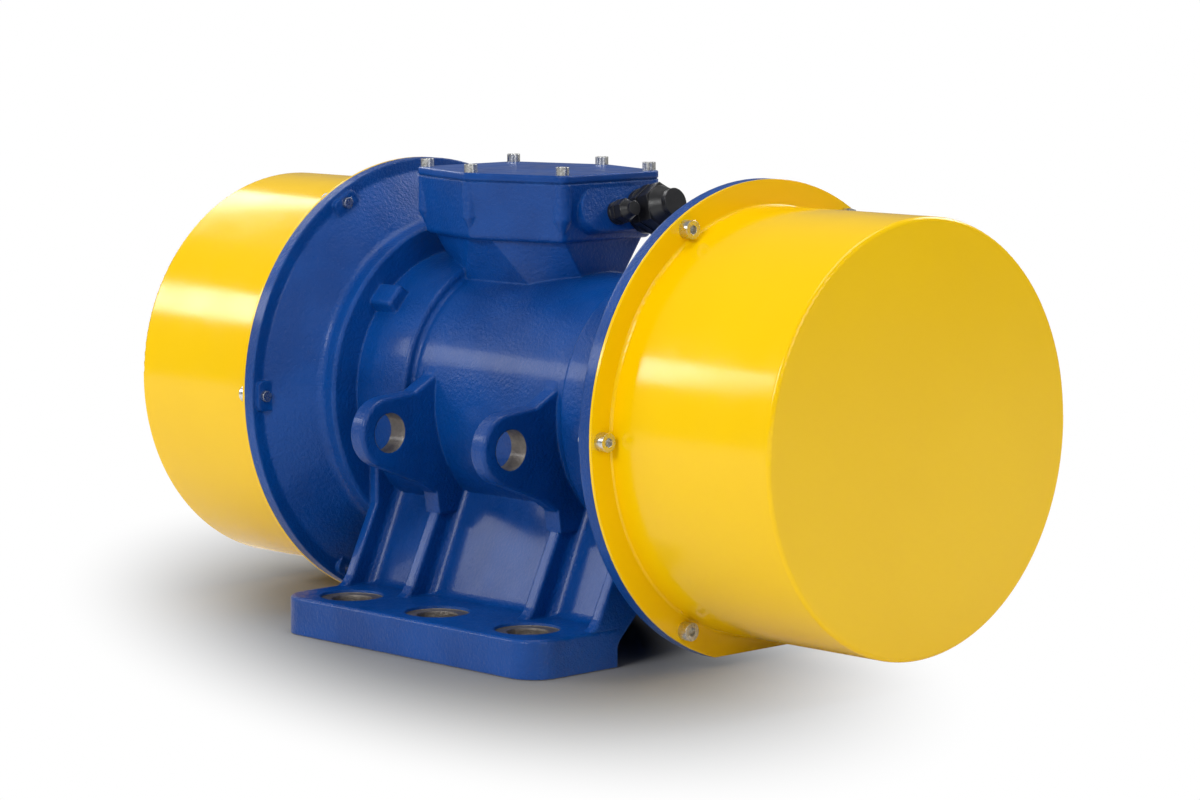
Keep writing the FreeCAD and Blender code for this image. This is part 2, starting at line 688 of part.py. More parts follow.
def makeCover(side, place):
    # Pressed cup welded to a flat ring, cut off level with the floor side.
    cover = newBody("cover_" + side, place)
    skin = d.coverRadius - d.sheet
    revolve(cover, [
        (d.flangeFace, skin), (d.flangeFace, d.flangeRadius),
        (d.flangeFace + d.sheet, d.flangeRadius), (d.flangeFace + d.sheet, d.coverRadius),
        (d.coverEnd, d.coverRadius), (d.coverEnd, 0), (d.coverEnd - d.sheet, 0),
        (d.coverEnd - d.sheet, skin)], "Cup")
    end = number(d.coverEnd)
    roundEdges(cover, number(d.coverCorner), lambda edge, mid, way: (
        abs(mid.x - end) < 0.1 and edge.Length > 900), "CupCorner")
    roundEdges(cover, number(d.coverCorner) - number(d.sheet), lambda edge, mid, way: (
        abs(mid.x - end + number(d.sheet)) < 0.1 and edge.Length > 900), "CupInnerCorner")
    roundEdges(cover, 2.5, lambda edge, mid, way: (
        abs(mid.x - number(d.flangeFace + d.sheet)) < 0.1
        and abs(math.hypot(mid.y, mid.z) - number(d.coverRadius)) < 0.5), "WeldBead")
    hole = newSketch(cover, "YZ_Plane", "ScrewHoleOutline", d.flangeFace)
    drawCircle(hole, d.screwCircle, 0, d.screwHole)
    first = pocket(cover, hole, d.sheet * 4, "ScrewHole", midplane=True)
    around(cover, first, d.coverScrews, "ScrewHoles")
    flat = newSketch(cover, "YZ_Plane", "FlatOutline", d.flangeFace - 1)
    low = d.flangeFlat - d.axisHeight
    drawOutline(flat, [(-90, low), (90, low), (90, -230), (-90, -230)])
    pocket(cover, flat, d.sheet * 2, "Flat", reverse=True)
    keep(cover, "cover_" + side)

    seal = newBody("cover_seal_" + side, place)
    revolve(seal, [(d.flangeFace - 2, 199.5), (d.flangeFace - 2, 203.5),
                   (d.flangeFace, 203.5), (d.flangeFace, 199.5)], "Seal")
    keep(seal, "cover_seal_" + side)


# --------------------------------------------------------------- cable glands

def makeGland(name, thread, hexSize, length):
    # A nylon gland along +Z: threaded stem, collar and hexagon, then the dome
    # nut, then the blanking plug that closes it.
    face = glandFace(GLANDS[name]["side"])
    corner = hexSize / 2 / math.cos(math.pi / 6)
    collar = length * 0.12
    hexTop = length * 0.3
    nutTop = length * 0.62
    domeTop = length * 0.88

    stem = solid("Part::Cylinder", name + "Stem", at(0, 0, -16), Radius=thread - 0.2,
                 Height=16 + collar)
    rim = solid("Part::Cylinder", name + "Collar", Radius=hexSize * 0.535, Height=collar)
    block = solid("Part::Prism", name + "Hexagon", at(0, 0, collar), Polygon=6,
                  Circumradius=corner, Height=hexTop - collar)
    neck = solid("Part::Cylinder", name + "Neck", at(0, 0, hexTop - 0.5),
                 Radius=thread * 0.86, Height=nutTop - hexTop - 2)
    outer = fuse(name + "GlandOuter", [stem, rim, block, neck])
    way = solid("Part::Cylinder", name + "Way", at(0, 0, -20), Radius=thread * 0.62, Height=80)
    base = cut("cable_gland_" + name, outer, way)
    base.Placement = face
    keep(base, "cable_gland_" + name)

    nutBlock = solid("Part::Prism", name + "NutHexagon", at(0, 0, hexTop + 0.6), Polygon=6,
                     Circumradius=corner * 0.97, Height=nutTop - hexTop - 0.6)
    dome = solid("Part::Cone", name + "Dome", at(0, 0, nutTop), Radius1=hexSize * 0.47,
                 Radius2=thread * 0.9, Height=domeTop - nutTop)
    nutOuter = fuse(name + "NutOuter", [nutBlock, dome])
    bore = solid("Part::Cylinder", name + "NutBore", at(0, 0, hexTop),
                 Radius=thread * 0.86 + 0.1, Height=nutTop - hexTop - 2)
    mouth = solid("Part::Cylinder", name + "NutMouth", at(0, 0, nutTop - 3),
                  Radius=thread * 0.62, Height=length)
    nut = cut("gland_nut_" + name, nutOuter, fuse(name + "NutSpace", [bore, mouth]))
    nut.Placement = face
    keep(nut, "gland_nut_" + name)

    cap = solid("Part::Cylinder", name + "PlugCap", at(0, 0, domeTop), Radius=thread * 0.88,
                Height=length - domeTop)
    post = solid("Part::Cylinder", name + "PlugPost", at(0, 0, nutTop - 2),
                 Radius=thread * 0.62 - 0.1, Height=domeTop - nutTop + 3)
    plug = fuse("gland_plug_" + name, [cap, post])
    plug.Placement = face
    keep(plug, "gland_plug_" + name)


# ------------------------------------------------------------- terminal block

def makeTerminals():
    floor = number(d.boxFloor + d.boxWall)
    x = number(d.boxCentre)
    block = solid("Part::Box", "blockBase", at(x - 62, -28, floor), Length=44, Width=56, Height=14)
    ribs = [solid("Part::Box", "blockRib%d" % index, at(x - 62, y, floor + 13),
                  Length=44, Width=2.4, Height=9)
            for index, y in enumerate((-28, -10.2, 7.8, 25.6), start=1)]
    linkWay = solid("Part::Box", "linkWay", at(x - 34, -25, floor + 14),
                    Length=10, Width=50, Height=10)
    keep(cut("terminal_block", fuse("blockRibbed", [block] + ribs), linkWay), "terminal_block")

    rod = solid("Part::Cylinder", "studRod", Radius=2.9, Height=18)
    spots = [(x - 40 + across, up) for across in (-11, 11) for up in (-18, 0, 18)]
    studs = copies("terminal_studs", rod, [at(a, b, floor + 14) for a, b in spots])
    keep(studs, "terminal_studs")
    nut = hexNut("studNut", 10, 5, 3)
    keep(copies("terminal_nuts", nut, [at(a, b, floor + 15.6) for a, b in spots]),
         "terminal_nuts")
    bar = solid("Part::Box", "linkBar", at(-4.5, -24, 0), Length=9, Width=48, Height=1.5)
    holes = [solid("Part::Cylinder", "linkHole%d" % index, at(0, y, -1), Radius=3, Height=4)
             for index, y in enumerate((-18, 0, 18), start=1)]
    link = cut("terminal_link", bar, fuse("linkHoles", holes))
    link.Placement = at(x - 29, 0, floor + 14)
    keep(link, "terminal_link")

    earth = socketScrew("earthScrew", 5, 5, 2.9, 6, 5)
    keep(copies("earth_screw", earth, [at(EARTH_SPOT[0], EARTH_SPOT[1], floor)]), "earth_screw")


# ------------------------------------------------------------ stator and rotor

SLOTS = 18
SLOT_CIRCLE = 79


def makeStator():
    core = newBody("stator_core", ON_SHAFT)
    revolve(core, [(-d.stackHalf, d.rotorRadius + d.airGap), (-d.stackHalf, d.statorRadius),
                   (d.stackHalf, d.statorRadius), (d.stackHalf, d.rotorRadius + d.airGap)],
            "Stack")
    slot = newSketch(core, "YZ_Plane", "SlotOutline")
    drawCircle(slot, SLOT_CIRCLE, 0, 5.5)
    first = pocket(core, slot, d.stackHalf * 2 + 2, "Slot", midplane=True)
    around(core, first, SLOTS, "Slots")
    keep(core, "stator_core")

    coils = [solid("Part::Cylinder", "coilBar%d" % index,
                   place.multiply(at(0, 0, -number(d.stackHalf) - 2)), Radius=5.4,
                   Height=d.stackHalf * 2 + 4)
             for index, place in enumerate(ringPlaces(1, 0, SLOT_CIRCLE, SLOTS), start=1)]
    for side, sign, place in SIDES:
        turn = newBody("coilEnd_" + side, place)
        revolve(turn, [(d.stackHalf + 1, 72), (d.stackHalf + 1, 98), (d.stackHalf + 10, 102),
                       (d.stackHalf + 34, 98), (d.stackHalf + 38, 88), (d.stackHalf + 32, 76)],
                "EndTurn")
        coils.append(turn)
    keep(fuse("stator_winding", coils), "stator_winding")


def makeRotor():
    shaft = newBody("shaft", ON_SHAFT)
    revolve(shaft, mirroredProfile([
        (d.bearingInner - 2, d.rotorSeat), (d.bearingInner - 2, d.bearingSeat),
        (d.fixedStart - 4, d.bearingSeat), (d.fixedStart - 4, d.weightSeat),
        (d.movingEnd + 2, d.weightSeat), (d.movingEnd + 2, d.threadRadius),
        (d.shaftHalf - 2, d.threadRadius), (d.shaftHalf, d.threadRadius - 2),
        (d.shaftHalf, 0)]))
    for index, sign in enumerate((-1, 1), start=1):
        way = newSketch(shaft, "XZ_Plane", "Keyway%d" % index)
        ends = [sign * number(d.fixedStart + 4), sign * number(d.fixedEnd - 4)]
        top = d.weightSeat + 3
        drawOutline(way, [(ends[0], d.weightSeat - 5), (ends[1], d.weightSeat - 5),
                          (ends[1], top), (ends[0], top)])
        pocket(shaft, way, 16, "KeywayPocket%d" % index, midplane=True)
    keep(shaft, "shaft")

    core = newBody("rotor_core", ON_SHAFT)
    revolve(core, [(-d.stackHalf, d.rotorSeat), (-d.stackHalf, d.rotorRadius),
                   (d.stackHalf, d.rotorRadius), (d.stackHalf, d.rotorSeat)], "Stack")
    keep(core, "rotor_core")
    for side, sign, place in SIDES:
        ring = newBody("cageRing_" + side, place)
        revolve(ring, [(d.stackHalf, 44), (d.stackHalf, d.rotorRadius - 2),
                       (d.stackHalf + 14, d.rotorRadius - 3), (d.stackHalf + 14, 44)], "EndRing")
        keep(ring, "rotor_end_ring_" + side)


def drillRing(body, name, radius, start, holeRadius, along):
    # Six screw holes about the shaft line, the first at the start angle.
    outline = newSketch(body, "YZ_Plane", name + "Outline", along + 2)
    turn = math.radians(start)
    drawCircle(outline, radius * math.cos(turn), radius * math.sin(turn), holeRadius)
    first = pocket(body, outline, 20, name + "First", reverse=True)
    around(body, first, 6, name)


def makeBearing(side, sign, place):
    housing = newBody("bearing_housing_" + side, place)
    # keeps the outer ring between a shoulder and the cap
    revolve(housing, [
        (150, d.innerRingRace + 20), (150, 96), (156, 112), (170, 117.9), (d.seatFace, 117.9),
        (d.seatFace, d.seatRadius - 0.2), (208, d.seatRadius - 0.2), (208, 90),
        (207, 90), (207, d.outerRingBack), (d.bearingInner, d.outerRingBack),
        (d.bearingInner, d.innerRingRace + 20)], "Housing")
    drillRing(housing, "CoverScrewHoles", 134, 30, 5.1, 207)
    drillRing(housing, "CapThreads", 78, 0, 3, 207)
    keep(housing, "bearing_housing_" + side)

    outer = newBody("bearing_outer_ring_" + side, place)
    revolve(outer, [
        (d.bearingInner, d.outerRingRace - 3), (d.bearingInner, d.outerRingBack),
        (d.bearingOuter, d.outerRingBack), (d.bearingOuter, d.outerRingRace - 3),
        (d.bearingOuter - 8, d.outerRingRace - 3), (d.bearingOuter - 8, d.outerRingRace),
        (d.bearingInner + 8, d.outerRingRace), (d.bearingInner + 8, d.outerRingRace - 3)],
        "Ring")
    keep(outer, "bearing_outer_ring_" + side)

    inner = newBody("bearing_inner_ring_" + side, place)
    revolve(inner, [
        (d.bearingInner, d.bearingSeat), (d.bearingInner, d.innerRingRace + 3),
        (d.bearingInner + 8, d.innerRingRace + 3), (d.bearingInner + 8, d.innerRingRace),
        (d.bearingOuter, d.innerRingRace), (d.bearingOuter, d.bearingSeat)], "Ring")
    keep(inner, "bearing_inner_ring_" + side)

    pitch = (d.innerRingRace + d.outerRingRace) / 2
    roller = solid("Part::Cylinder", "roller_" + side, at(0, 0, 0),
                   Radius=number(d.outerRingRace - d.innerRingRace) / 2 - 0.35, Height=30)
    keep(copies("bearing_rollers_" + side, roller, ringPlaces(
        sign, d.bearingInner + 9, pitch, 14)), "bearing_rollers_" + side)

    cage = newBody("bearing_cage_" + side, place)
    revolve(cage, [(d.bearingInner + 2, 47.5), (d.bearingInner + 2, 53.5),
                   (d.bearingInner + 45, 53.5), (d.bearingInner + 45, 47.5)], "Cage")
    pocketSketch = newSketch(cage, "YZ_Plane", "RollerPocket", d.bearingInner + 8.7)
    drawCircle(pocketSketch, pitch, 0, 8.6)
    first = pocket(cage, pocketSketch, 30.6, "RollerSpace", reverse=True)
    around(cage, first, d.rollers, "RollerSpaces")
    keep(cage, "bearing_cage_" + side)

    cap = newBody("bearing_cap_" + side, place)
    revolve(cap, [(208, 37), (208, 54), (206.2, 56), (206.2, 69), (208, 70), (208, 89),
                  (215, 89), (215, 60), (219, 54), (219, 37)], "Cap")
    drillRing(cap, "CapScrewHoles", 78, 0, 3.1, 215)
    keep(cap, "bearing_cap_" + side)

    spacer = newBody("shaft_spacer_" + side, place)
    revolve(spacer, [(d.bearingOuter, d.bearingSeat), (d.bearingOuter, 36.5),
                     (222, 36.5), (222, 44), (d.fixedStart, 44),
                     (d.fixedStart, d.weightSeat), (222, d.weightSeat), (222, d.bearingSeat)],
            "Sleeve")
    keep(spacer, "shaft_spacer_" + side)


def lobe(body, start, end, name):
    # Heavy half of a weight: a sector hanging below the shaft, with its hub.
    half = math.radians(number(d.lobeAngle) / 2)
    reach = number(d.lobeRadius)
    outline = newSketch(body, "YZ_Plane", name + "Outline", start)
    right = Vector(reach * math.sin(half), -reach * math.cos(half), 0)
    left = Vector(-right.x, right.y, 0)
    arc = Part.Arc(left, Vector(0, -reach, 0), right)
    first = outline.addGeometry(arc, False)
    outline.addGeometry(Part.LineSegment(right, Vector(52, 14, 0)), False)
    outline.addGeometry(Part.LineSegment(Vector(52, 14, 0), Vector(-52, 14, 0)), False)
    outline.addGeometry(Part.LineSegment(Vector(-52, 14, 0), left), False)
    for one, two in ((0, 1), (1, 2), (2, 3), (3, 0)):
        outline.addConstraint(Sketcher.Constraint("Coincident", one, 2, two, 1))
    pin(outline, first, 3, 0, 0)
    tie = outline.addConstraint(Sketcher.Constraint("Radius", first, reach))
    outline.setExpression("Constraints[%d]" % tie, d.lobeRadius.text)
    pin(outline, 2, 1, 52, 14)
    pin(outline, 2, 2, -52, 14)
    pad(body, outline, end - start, name)


def makeWeights(side, sign, place):
    fixed = newBody("weight_fixed_" + side, place)
    lobe(fixed, d.fixedStart, d.fixedEnd, "Lobe")
    hub = newSketch(fixed, "YZ_Plane", "HubOutline", d.fixedStart)
    drawCircle(hub, 0, 0, d.weightHub)
    pad(fixed, hub, d.fixedEnd - d.fixedStart, "Hub")
    bore = newSketch(fixed, "YZ_Plane", "BoreOutline", d.fixedStart)
    drawCircle(bore, 0, 0, d.weightSeat + 0.05)
    pocket(fixed, bore, 200, "Bore", midplane=True)
    way = newSketch(fixed, "YZ_Plane", "KeySlotOutline", d.fixedStart)
    drawOutline(way, [(-8, 0), (8, 0), (8, d.weightSeat + 4.5), (-8, d.weightSeat + 4.5)])
    pocket(fixed, way, 200, "KeySlot", midplane=True)
    keep(fixed, "weight_fixed_" + side)

    key = newBody("weight_key_" + side, place)
    bar = newSketch(key, "YZ_Plane", "KeyOutline", d.fixedStart + 4.1)
    drawOutline(bar, [(-7.95, d.weightSeat - 5), (7.95, d.weightSeat - 5),
                      (7.95, d.weightSeat + 4.4), (-7.95, d.weightSeat + 4.4)])
    pad(key, bar, d.fixedEnd - d.fixedStart - 8.2, "Key")
    keep(key, "weight_key_" + side)

    moving = newBody("weight_adjustable_" + side, place)
    lobe(moving, d.movingStart, d.movingEnd, "Lobe")
    hub = newSketch(moving, "YZ_Plane", "HubOutline", d.movingStart)
    drawCircle(hub, 0, 0, d.weightHub)
    pad(moving, hub, d.movingEnd - d.movingStart, "Hub")
    ears = newSketch(moving, "YZ_Plane", "ClampEars", d.movingStart)
    drawOutline(ears, [(-d.earHalf, 0), (d.earHalf, 0), (d.earHalf, d.earTop),
                       (-d.earHalf, d.earTop)])
    pad(moving, ears, d.movingEnd - d.movingStart, "Ears")
    bore = newSketch(moving, "YZ_Plane", "BoreOutline", d.movingStart)
    drawCircle(bore, 0, 0, d.weightSeat + 0.05)
    pocket(moving, bore, 200, "Bore", midplane=True)
    slit = newSketch(moving, "YZ_Plane", "ClampSlit", d.movingStart)
    drawOutline(slit, [(-2, 0), (2, 0), (2, 80), (-2, 80)])
    pocket(moving, slit, 200, "Slit", midplane=True)
    screwWay = newSketch(moving, "XZ_Plane", "ClampScrewWay", 0)
    middle = (d.movingStart + d.movingEnd) / 2
    drawCircle(screwWay, middle, d.clampHeight, 8.3)
    pocket(moving, screwWay, 300, "ClampHole", midplane=True)
    keep(moving, "weight_adjustable_" + side)

    screw = socketScrew("clampScrew_" + side, 12, 12, 8, d.earHalf * 2 - 2, 14)
    lie = FreeCAD.Rotation(X_AXIS, -90)
    seat = at(sign * number(middle), d.earHalf, d.axisHeight + d.clampHeight, lie)
    keep(copies("weight_clamp_screw_" + side, screw, [seat]), "weight_clamp_screw_" + side)

    nut = hexNut("shaftNut_" + side, 65, 18, number(d.threadRadius) + 0.05)
    keep(copies("shaft_nut_" + side, nut, [at(
        sign * number(d.movingEnd + 8), 0, d.axisHeight, FreeCAD.Rotation(Y_AXIS, 90 * sign))]),
        "shaft_nut_" + side)
    washer = newBody("shaft_washer_" + side, place)
    revolve(washer, [(d.movingEnd + 2, d.threadRadius + 0.1), (d.movingEnd + 2, 40),
                     (d.movingEnd + 8, 40), (d.movingEnd + 8, d.threadRadius + 0.1)], "Washer")
    keep(washer, "shaft_washer_" + side)


# ------------------------------------------------------------- build and write

makeCasing()
makeLid()
makeScrews()
for side, sign, place in SIDES:
    makeCover(side, place)
    makeBearing(side, sign, place)
    makeWeights(side, sign, place)
makeGland("large", 16, 42, 46)
makeGland("small", 8, 21, 27)
makeTerminals()
makeStator()
makeRotor()
doc.recompute()

faults = []
for thing in doc.Objects:
    states = [state for state in thing.State if state in ("Invalid", "Error")]
    if states:
        faults.append("%s %s" % (thing.Name, states))
for piece in finished:
    shape = piece.Shape
    if shape.isNull() or not shape.isValid() or not shape.Solids:
        faults.append("%s has no valid solid" % piece.Label)
if faults:
    raise RuntimeError("; ".join(faults))

for piece in finished:
    piece.Shape.exportStep("parts/%s.step" % piece.Label)
    print(piece.Label, len(piece.Shape.Solids), round(piece.Shape.Volume / 1000, 1))
print(len(finished), "nodes")
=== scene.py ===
import json
import math
import bpy
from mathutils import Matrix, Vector

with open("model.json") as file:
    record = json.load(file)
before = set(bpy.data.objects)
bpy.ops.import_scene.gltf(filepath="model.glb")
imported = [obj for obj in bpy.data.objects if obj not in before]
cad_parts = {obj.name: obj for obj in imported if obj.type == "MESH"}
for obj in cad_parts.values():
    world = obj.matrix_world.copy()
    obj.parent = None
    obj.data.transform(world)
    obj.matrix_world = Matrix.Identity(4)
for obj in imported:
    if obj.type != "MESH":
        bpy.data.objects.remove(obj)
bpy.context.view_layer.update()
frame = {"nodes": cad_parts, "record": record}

# Units are metres. A noise is written as (scale, detail, roughness), and a range as (from, to).
nodes = frame["nodes"]
shaftHeight = 0.225  # shaft line above the mounting face
shared = {}  # shader groups by name


class Graph:
    # A node tree, with short calls that add nodes and feed their inputs.
    def __init__(self, tree):
        self.tree = tree

    def feed(self, socket, value):
        if isinstance(value, bpy.types.NodeSocket):
            self.tree.links.new(value, socket)
        else:
            socket.default_value = value

    def add(self, kind, settings=None, **inputs):
        made = self.tree.nodes.new("ShaderNode" + kind)
        for key, value in (settings or {}).items():
            setattr(made, key, value)
        for key, value in inputs.items():
            self.feed(made.inputs[key.replace("_", " ")], value)
        return made

    def calc(self, operation, *values):
        made = self.add("Math", {"operation": operation})
        for socket, value in zip(made.inputs, values):
            self.feed(socket, value)
        return made.outputs[0]

    def plus(self, first, second):
        return self.calc("ADD", first, second)

    def minus(self, first, second):
        return self.calc("SUBTRACT", first, second)

    def times(self, first, second):
        return self.calc("MULTIPLY", first, second)

    def most(self, first, second):
        return self.calc("MAXIMUM", first, second)

    def below(self, value, limit):
        return self.calc("LESS_THAN", value, limit)

    def length(self, first, second):
        return self.calc("SQRT", self.plus(self.times(first, first), self.times(second, second)))

    def wave(self, value, pitch):
        return self.calc("SINE", self.times(value, pitch))

    def place(self):
        return self.add("TexCoord").outputs["Object"]

    def axes(self):
        return tuple(self.add("SeparateXYZ", Vector=self.place()).outputs)

    def noise(self, scale, detail, roughness):
        made = self.add("TexNoise", Vector=self.place(), Scale=scale, Detail=detail,
                        Roughness=roughness)
        return made.outputs["Fac"]

    def ramp(self, value, given, wanted=(0.0, 1.0)):
        # Smooth step that turns the given range into the wanted one.
        made = self.add("MapRange", {"interpolation_type": "SMOOTHSTEP"}, Value=value,
                        From_Min=given[0], From_Max=given[1],
                        To_Min=wanted[0], To_Max=wanted[1])
        return made.outputs["Result"]

    def mix(self, share, first, second):
        made = self.add("Mix", {"data_type": "RGBA"}, Factor=share)
        ends = [socket for socket in made.inputs if socket.type == "RGBA"]
        self.feed(ends[0], first)
        self.feed(ends[1], second)
        return next(socket for socket in made.outputs if socket.type == "RGBA")

    def blend(self, share, first, second):
        # Mix of two shaders: all of the first at 0, all of the second at 1.
        made = self.add("MixShader")
        for socket, value in zip(made.inputs, (share, first, second)):
            self.feed(socket, value)
        return made.outputs[0]

    def group(self, name, **inputs):
        made = self.tree.nodes.new("ShaderNodeGroup")
        made.node_tree = shared[name]
        for key, value in inputs.items():
            self.feed(made.inputs[key], value)
        return made.outputs


def newGroup(name, inputs, outputs):
    # Shared effect with number inputs, given with their defaults, and named outputs.
    tree = bpy.data.node_groups.new(name, "ShaderNodeTree")
    for key, value in inputs.items():
        made = tree.interface.new_socket(key, in_out="INPUT", socket_type="NodeSocketFloat")
        made.default_value = value
    for key, kind in outputs.items():
        tree.interface.new_socket(key, in_out="OUTPUT", socket_type="NodeSocket" + kind)
    shared[name] = tree
    source = tree.nodes.new("NodeGroupInput")
    target = tree.nodes.new("NodeGroupOutput")
    return Graph(tree), source.outputs, target.inputs


def newTree(owner):
    owner.use_nodes = True
    owner.node_tree.nodes.clear()
    return Graph(owner.node_tree)


def newMaterial(name, **settings):
    # Principled material; the settings are uniform numbers on its sockets.
    material = bpy.data.materials.new(name)
    graph = newTree(material)
    shader = graph.add("BsdfPrincipled", **settings)
    graph.add("OutputMaterial", Surface=shader.outputs["BSDF"])
    return material, graph, shader


def finishSurface(graph, shader, colour, roughness, **bump):
    graph.feed(shader.inputs["Base Color"], colour)
    graph.feed(shader.inputs["Roughness"], roughness)
    graph.feed(shader.inputs["Normal"], graph.add("Bump", **bump).outputs[0])


def brighter(colour, factor):
    return tuple(min(1.0, part * factor) for part in colour[:3]) + (1,)


edgeLook = dict(samples=6, turn=(0.995, 0.86), wearAndSheen=(4.0, 0.65), broken=(0.38, 0.6))


def makeEdgeGroup():
    # Rounds the shading of hard edges and masks them, broken up by noise.
    graph, given, out = newGroup(
        "edgeEffect", {"Radius": 0.002, "Grain": 60.0}, {"Normal": "Vector", "Edge": "Float"})
    soft = graph.add("Bevel", {"samples": edgeLook["samples"]}, Radius=given["Radius"])
    flat = graph.add("NewGeometry").outputs["Normal"]
    align = graph.add("VectorMath", {"operation": "DOT_PRODUCT"})
    graph.feed(align.inputs[0], soft.outputs[0])
    graph.feed(align.inputs[1], flat)
    turned = graph.ramp(align.outputs["Value"], edgeLook["turn"])
    # The broken edge mask gives rubbed wear on metals and plastics, and a painted highlight on
    # the enamel and the cover paint.
    broken = graph.ramp(graph.noise(given["Grain"], *edgeLook["wearAndSheen"]), edgeLook["broken"])
    graph.feed(out["Normal"], soft.outputs[0])
    graph.feed(out["Edge"], graph.times(turned, broken))


skinLook = dict(waves=(32.0, 2.0, 0.5), peel=(290.0, 3.0, 0.6), peelHeight=0.5,
                grit=(900.0, 2.0, 0.5), gritHeight=0.1, cells=85.0, pitSize=0.16,
                pitPlaces=(24.0, 1.0, 0.5), pitRarity=(0.56, 0.68), pitDepth=0.25,
                tone=(9.0, 3.0, 0.55))


def makeSkinGroup():
    # Sand-cast skin under enamel: broad waves, orange peel and a few pin holes.
    graph, given, out = newGroup(
        "castSkin", {"Peel": 1.0, "Waves": 1.0}, {"Height": "Float", "Tone": "Float"})
    waves = graph.times(graph.noise(*skinLook["waves"]), given["Waves"])
    skin = graph.plus(graph.times(graph.noise(*skinLook["peel"]), skinLook["peelHeight"]),
                      graph.times(graph.noise(*skinLook["grit"]), skinLook["gritHeight"]))
    skin = graph.times(skin, given["Peel"])
    cells = graph.add("TexVoronoi", Vector=graph.place(), Scale=skinLook["cells"])
    pits = graph.ramp(cells.outputs["Distance"], (0.0, skinLook["pitSize"]), (1.0, 0.0))
    rare = graph.ramp(graph.noise(*skinLook["pitPlaces"]), skinLook["pitRarity"])
    pits = graph.times(graph.times(pits, rare), skinLook["pitDepth"])
    graph.feed(out["Height"], graph.minus(graph.plus(waves, skin), pits))
    graph.feed(out["Tone"], graph.noise(*skinLook["tone"]))


def makeTurningGroup():
    # Fine turning lines round the shaft line.
    graph, given, out = newGroup("turnedLines", {"Pitch": 1500.0}, {"Height": "Float"})
    x, y, z = graph.axes()
    radius = graph.length(y, graph.minus(z, shaftHeight))
    graph.feed(out["Height"], graph.wave(graph.plus(radius, x), given["Pitch"]))


# Where the enamel is kept off the casting: the foot holes' spotfaces, the eyes and the base.
bareLook = dict(spacing=0.125, row=0.19, spotface=0.0312, seat=0.0346, eyeY=0.1827, eyeZ=0.2,
                eye=0.0194, eyeReach=0.11, base=0.0004)


def bareMask(graph):
    x, y, z = graph.axes()
    side = graph.calc("ABSOLUTE", y)
    half = bareLook["spacing"] / 2
    ring = graph.length(graph.calc("WRAP", x, half, -half), graph.minus(side, bareLook["row"]))
    foot = graph.times(graph.below(ring, bareLook["spotface"]),
                       graph.below(z, bareLook["seat"]))
    bore = graph.length(graph.minus(side, bareLook["eyeY"]), graph.minus(z, bareLook["eyeZ"]))
    near = graph.below(graph.calc("ABSOLUTE", x), bareLook["eyeReach"])
    eye = graph.times(graph.below(bore, bareLook["eye"]), near)
    base = graph.below(z, bareLook["base"])
    return graph.most(graph.most(foot, eye), base), ring


castLook = dict(
    deep=(0.0, 0.04, 0.205, 1), bright=(0.0, 0.055, 0.268, 1), tones=(0.35, 0.66),
    paintedEdgeHighlight=(0.003, 0.105, 0.42, 1), paintedEdgeHighlightShare=0.35, edgeRadius=0.0035, edgeGrain=70.0,
    gloss=dict(IOR=1.5, Specular_IOR_Level=0.24, Coat_Weight=0.14, Coat_Roughness=0.14),
    smears=(60.0, 3.0, 0.5), smearRange=(0.3, 0.7), rough=(0.3, 0.44),
    bare=(0.1, 0.085, 0.075, 1), bareLight=(0.32, 0.29, 0.26, 1), bareTone=(150.0, 5.0, 0.7),
    bareRough=0.12, bareMetal=0.85, turning=5200.0, turningHeight=0.06,
    bump=0.8, bumpDepth=0.0026)


def castEnamel(name, peel, waves, masked):
    # Glossy enamel over cast iron, with a painted highlight that makes the edges lighter; masked
    # keeps bareMask's places bare.
    material, graph, shader = newMaterial(name, **castLook["gloss"])
    skin = graph.group("castSkin", Peel=peel, Waves=waves)
    edge = graph.group("edgeEffect", Radius=castLook["edgeRadius"], Grain=castLook["edgeGrain"])
    colour = graph.mix(graph.ramp(skin["Tone"], castLook["tones"]),
                       castLook["deep"], castLook["bright"])
    # Painted highlight: a lighter blue laid on the edges, convex and concave, where the bevel
    # normal turns.
    colour = graph.mix(graph.times(edge["Edge"], castLook["paintedEdgeHighlightShare"]),
                       colour, castLook["paintedEdgeHighlight"])
    roughness = graph.ramp(graph.noise(*castLook["smears"]), castLook["smearRange"],
                           castLook["rough"])
    height = skin["Height"]
    if masked:
        bare, ring = bareMask(graph)
        iron = graph.mix(graph.noise(*castLook["bareTone"]),
                         castLook["bare"], castLook["bareLight"])
        colour = graph.mix(bare, colour, iron)
        roughness = graph.plus(roughness, graph.times(bare, castLook["bareRough"]))
        graph.feed(shader.inputs["Metallic"], graph.times(bare, castLook["bareMetal"]))
        turned = graph.times(bare, graph.wave(ring, castLook["turning"]))
        height = graph.plus(height, graph.times(turned, castLook["turningHeight"]))
    finishSurface(graph, shader, colour, roughness, Strength=castLook["bump"],
                  Distance=castLook["bumpDepth"], Height=height, Normal=edge["Normal"])
    return material


coverLook = dict(
    gloss=dict(IOR=1.5, Specular_IOR_Level=0.33),
    tone=(5.0, 3.0, 0.5), tones=(0.35, 0.7), deep=(0.86, 0.53, 0.0, 1),
    bright=(0.88, 0.55, 0.0, 1), paintedEdgeHighlight=(0.92, 0.6, 0.03, 1), paintedEdgeHighlightShare=0.3,
    edgeRadius=0.0012, edgeGrain=90.0, smears=(30.0, 3.0, 0.5), smearRange=(0.3, 0.7),
    rough=(0.13, 0.19), peel=(330.0, 2.0, 0.5), peelHeight=0.05, dents=(11.0, 1.0, 0.4),
    dentHeight=0.5, bump=0.4, bumpDepth=0.0012)


